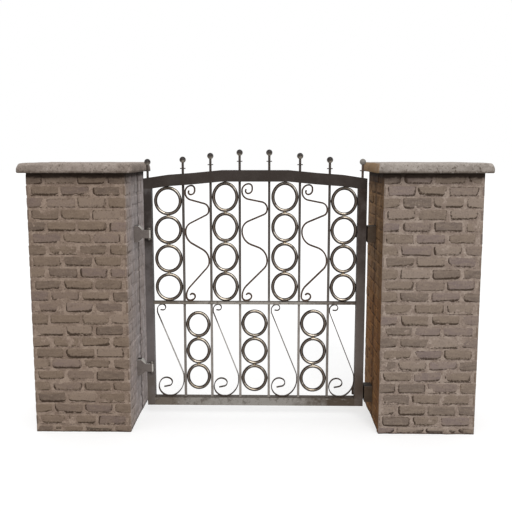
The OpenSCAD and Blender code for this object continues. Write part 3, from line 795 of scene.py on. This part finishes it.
def bracket_material(name, node, body, upper, side, shade):
    """Strap iron with painted light: half as bright on the faces that look up or down, a painted highlight along the
    front of the faces that look up, and colours of their own on the faces that look right and left, which on the
    hinge parts are a painted highlight and painted shade. node gives its front.
    """
    m = Nodes(name)
    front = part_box(node)[0].y
    x, z = m.facing("X"), m.facing("Z")
    colour = m.lay(rgb(body), lighter(body, -22), m.noise(40, 5, 0.6), 0.4, 0.7, 0.5)
    colour = m.lay(colour, lighter(body, 34), m.noise(130, 4, 0.65), 0.56, 0.74, 0.5)
    # Painted shade on the faces that look up or down.
    colour = m.lay(colour, tuple(c // 2 for c in body), m.unsigned(z), 0.2, 0.5)
    # Painted highlight along the front of the faces that look up.
    edge = m.steps(m.at("Y"), front + 0.009, front + 0.004)
    colour = m.mix(m.times(m.steps(z, 0.2, 0.5), edge), colour, rgb(upper))
    # On the hinge parts these are a painted highlight on the faces that look right and painted shade on those that
    # look left.
    colour = m.lay(colour, side, x, 0.15, 0.5)
    colour = m.lay(colour, shade, x, -0.3, -0.7)
    m.pitted_iron()
    return m.finish(colour, 0.5, 0.2)


def ring_material():
    """Round bar with a dark patina, a painted sheen along its front and back crowns, and painted highlights in pale
    bronze where it faces front or back and up and to the right, which are also smoother and partly metallic.
    """
    m = Nodes("bronze_rings_worn_and_painted_highlight")
    front = m.unsigned(m.facing("Y"))
    # Painted highlights: where the bar faces front or back and tilts up and to the right it takes the pale colour
    # held in bare, and is smoother and partly metallic there.
    outward = m.plus(m.plus(m.times(front, 0.9), m.times(m.facing("Z"), 0.38)), m.times(m.facing("X"), 0.2))
    worn = m.steps(m.waver(outward, 0.0325, 26), 0.9295, 0.9895)
    patina = m.blend(m.noise(30, 5, 0.6), 0.35, 0.65, (34, 29, 27), (58, 47, 40))
    # Painted sheen along the front and back crowns.
    patina = m.lay(patina, (126, 115, 105), front, 0.84, 1.0, 0.6)
    bare = m.blend(m.noise(18, 4, 0.6), 0.42, 0.62, (158, 148, 138), (240, 234, 224))
    # Painted glint in pale gold on the parts that look up.
    bare = m.lay(bare, (238, 217, 184), m.facing("Z"), 0.15, 0.4, 0.5)
    m.fine_iron()
    return m.finish(m.mix(worn, patina, bare), m.steps(worn, 0, 1, 0.6, 0.36), 0.06, m.steps(worn, 0, 1, 0.0, 0.4))


def weld_material():
    """Ground-down bronze weld between two rings, made pale gold to paint the glint at the join."""
    m = Nodes("bronze_weld_painted_glint")
    m.bump((m.noise(160, 4, 0.6), 0.4, 0.4))
    colour = m.blend(m.noise(90, 4, 0.6), 0.35, 0.65, (180, 150, 110), (224, 207, 178))
    return m.finish(colour, 0.4, 0.3, 0.3)


def finial_material():
    """Iron ball and stem: black on top, paler below. The last one, on the closing stile, is dusty."""
    m = Nodes("weathered_finial_iron")
    slope = m.facing("Z")
    round_part = m.blend(m.waver(slope, 0.2, 60), -0.8, 0.1, (158, 150, 138), (44, 38, 35))
    colour = m.mix(m.steps(m.unsigned(slope), 0.02, 0.12), rgb((66, 58, 52)), round_part)
    colour = m.lay(colour, (90, 70, 54), m.noise(70, 5, 0.65), 0.52, 0.74, 0.5)
    last = m.steps(m.at("X"), 0.5, 0.55)
    ball = m.steps(m.at("Z"), LAST_FINIAL_TOP - 0.034, LAST_FINIAL_TOP - 0.029)
    colour = m.mix(m.times(last, 0.5), colour, rgb((104, 84, 72)))
    colour = m.mix(m.times(m.times(last, ball), 0.7), colour, rgb((146, 142, 136)))
    m.fine_iron()
    return m.finish(colour, 0.4, 0.3)


# ---------------------------------------------------------------- putting it together
def build_pillars():
    brick, mortar = brick_material(), mortar_material()
    for side, seed in SEEDS.items():
        low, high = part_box(side + "_pillar")
        size = high - low
        pillar = Pillar(side, (low.x + high.x) / 2, size.x, size.y, size.z, TINTS_AND_PAINTED_LIGHT[side])
        bricks, places = build_bricks(pillar, seed)
        core = build_mortar(pillar, places, seed + 5)
        set_material(bricks, brick)
        set_material(core, mortar)
        for piece in (bricks, core):
            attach(piece, "pillars")
        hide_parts(side + "_pillar")
        cap = build_cap(side, seed + 3)
        set_material(cap, cap_material(side + "_cap_stone", CAP_COLOURS[side], side == "right"))
        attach(cap, "pillars")
        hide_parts(side + "_cap")


def dress_metal():
    """Gives each CAD node of metal its material, and adds the weld beads."""
    wave_paint = metal_material("aged_wave_paint", (68, 52, 42), (76, 59, 47), (80, 66, 55), rough=0.45, blotch=40)
    rings = ring_material()
    paints = {
        "arched_top_bar": metal_material("aged_arch_paint", (58, 51, 47), (58, 51, 47), (58, 51, 47)),
        "hinge_stile": metal_material("aged_hinge_stile_paint", (58, 52, 49), (109, 103, 102), (98, 90, 83),
                                      levels=(0.15, 0.4, 1.05)),
        "closing_stile": metal_material("aged_closing_stile_paint", (64, 54, 49), (106, 98, 93), (84, 72, 63),
                                        levels=(0.15, 0.4, 1.15)),
        "mid_rail": rail_material("dusty_mid_rail_paint", (116, 108, 98), (157, 151, 143), (90, 80, 73)),
        "bottom_rail": rail_material("mottled_bottom_rail_paint", (116, 107, 97), (152, 147, 141), (86, 75, 65)),
        # Bracket colours: body, painted highlight on the faces that look up, and colours for the faces that look
        # right and left, which for the hinge parts are a painted highlight and painted shade.
        "hinge_bracket": bracket_material("hinge_iron_painted_light", "hinge_bracket_upper", (116, 108, 103),
                                          (236, 231, 226), (200, 195, 188), (58, 54, 51)),
        "hinge_lugs": bracket_material("lug_iron_painted_light", "hinge_bracket_upper", (92, 85, 80), (170, 163, 156),
                                       (110, 103, 97), (50, 46, 43)),
        "hinge_pin": bracket_material("pin_iron_painted_light", "hinge_bracket_upper", (110, 103, 97), (200, 194, 188),
                                      (150, 143, 136), (60, 56, 53)),
        "stop_bracket": bracket_material("aged_stop_iron_painted_light", "stop_bracket_upper", (94, 79, 65), (126, 110, 96),
                                         (106, 92, 78), (104, 92, 80)),
        "upright": rod_material(),
        "finial": finial_material(),
        "upper_rings": rings,
        "lower_rings": rings,
        "wave_scroll": wave_paint,
        "diagonal_scroll": diagonal_material(),
    }
    for name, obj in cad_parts.items():
        for start, paint in paints.items():
            if name.startswith(start):
                set_material(obj, paint)
    at_bars, between_rings = [], []
    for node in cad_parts:
        if "rings" in node:
            beads, between = ring_welds(node)
            at_bars += beads
            between_rings += between
        if "scroll" in node:
            at_bars += scroll_welds(node)
    for name, beads, paint in (("weld_beads", at_bars, wave_paint),
                               ("ring_weld_beads", between_rings, weld_material())):
        welds = build_welds(name, beads)
        set_material(welds, paint)
        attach(welds, "leaf")


# ---------------------------------------------------------------- floor, light and camera
def seen_directly(tree):
    """1 on rays from the camera, a reflection or a pane, and 0 on rays that carry light to the gate."""
    path = tree.nodes.new("ShaderNodeLightPath")
    seen = path.outputs["Is Camera Ray"]
    for ray in ("Is Glossy Ray", "Is Transmission Ray"):
        larger = tree.nodes.new("ShaderNodeMath")
        larger.operation = "MAXIMUM"
        tree.links.new(seen, larger.inputs[0])
        tree.links.new(path.outputs[ray], larger.inputs[1])
        seen = larger.outputs["Value"]
    return seen


def build_stage():
    """A pale floor with a glow that only the camera and reflections see, so that it reads as white."""
    r = FLOOR_REACH
    floor = new_object("floor", [(-r, -r, 0), (r, -r, 0), (r, r, 0), (-r, r, 0)], [[0, 1, 2, 3]], smooth=False)
    m = Nodes("pale_floor")
    m.finish(FLOOR_GREY, 1.0, 0.0)
    glow = m.add("ShaderNodeEmission")
    m.feed(glow.inputs["Color"], (1, 1, 1))
    m.feed(glow.inputs["Strength"], m.times(seen_directly(m.tree), FLOOR_GLOW))
    both = m.add("ShaderNodeAddShader")
    for socket, shader in zip(both.inputs, (m.shader.outputs["BSDF"], glow.outputs["Emission"])):
        m.feed(socket, shader)
    m.feed(m.tree.nodes["Material Output"].inputs["Surface"], both.outputs["Shader"])
    set_material(floor, m.material)


def build_light():
    """An even white sky that is brighter to the camera than to the gate, and one soft sun."""
    world = bpy.data.worlds.new("studio")
    bpy.context.scene.world = world
    world.use_nodes = True
    tree = world.node_tree
    sky = tree.nodes["Background"]
    sky.inputs["Color"].default_value = (1, 1, 1, 1)
    level = tree.nodes.new("ShaderNodeMapRange")
    level.inputs["To Min"].default_value = AMBIENT
    level.inputs["To Max"].default_value = 1.0
    tree.links.new(seen_directly(tree), level.inputs["Value"])
    tree.links.new(level.outputs["Result"], sky.inputs["Strength"])
    lamp = bpy.data.lights.new("key", "SUN")
    lamp.energy = KEY
    lamp.angle = math.radians(KEY_WIDTH)
    sun = bpy.data.objects.new("key", lamp)
    sun.rotation_mode = "QUATERNION"
    sun.rotation_quaternion = Vector(KEY_FROM).to_track_quat("Z", "Y")
    bpy.context.scene.collection.objects.link(sun)


def build_camera():
    """The photographer's place: a little right of the gate's middle, near head height, looking slightly down."""
    level = math.cos(CAMERA_DOWN)
    look = Vector((math.sin(CAMERA_YAW) * level, math.cos(CAMERA_YAW) * level, -math.sin(CAMERA_DOWN)))
    data = bpy.data.cameras.new("camera")
    data.sensor_width = CAMERA_SENSOR
    data.lens = CAMERA_LENS
    cam = bpy.data.objects.new("camera", data)
    cam.location = CAMERA_AT
    cam.rotation_mode = "QUATERNION"
    cam.rotation_quaternion = look.to_track_quat("-Z", "Y")
    bpy.context.scene.collection.objects.link(cam)
    bpy.context.scene.camera = cam


build_camera()
build_light()
build_stage()
build_pillars()
dress_metal()
bpy.context.scene.view_settings.view_transform = "Standard"
